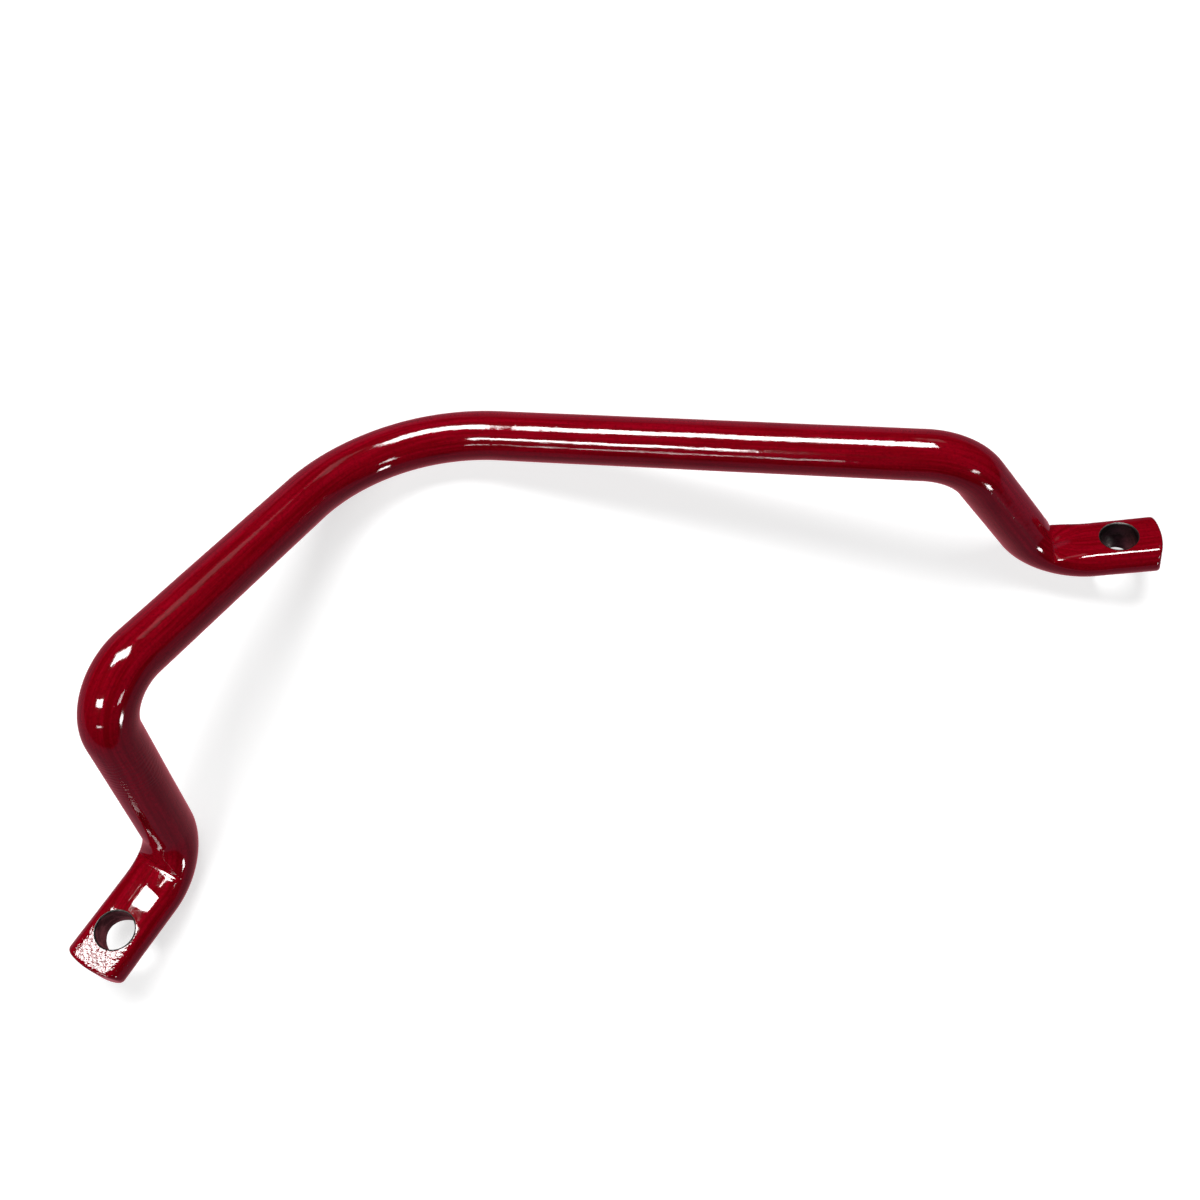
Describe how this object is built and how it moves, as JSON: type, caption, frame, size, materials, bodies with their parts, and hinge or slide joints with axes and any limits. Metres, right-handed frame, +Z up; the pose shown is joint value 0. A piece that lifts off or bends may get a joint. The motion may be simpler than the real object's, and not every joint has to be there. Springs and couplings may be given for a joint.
{
  "type": "tow bar",
  "caption": "One-piece tow bar bent from round steel bar: two unequal arms in a shallow V, with a leg and a flattened, drilled foot at each end.",
  "frame": {"origin": "centre of the bounding box on the bench that the bar lies on", "axes": "+Z up from the bench, +X from the left foot's bolt hole towards the right foot's, +Y towards the bend of the V"},
  "size_m": [0.4388, 0.1607, 0.0825],
  "materials": {
    "red_paint": "high gloss, slight orange peel",
    "bare_steel": "drilled, bare and slightly oiled"
  },
  "bodies": {
    "root": {"tow_bar": "red_paint"}
  },
  "joints": []
}
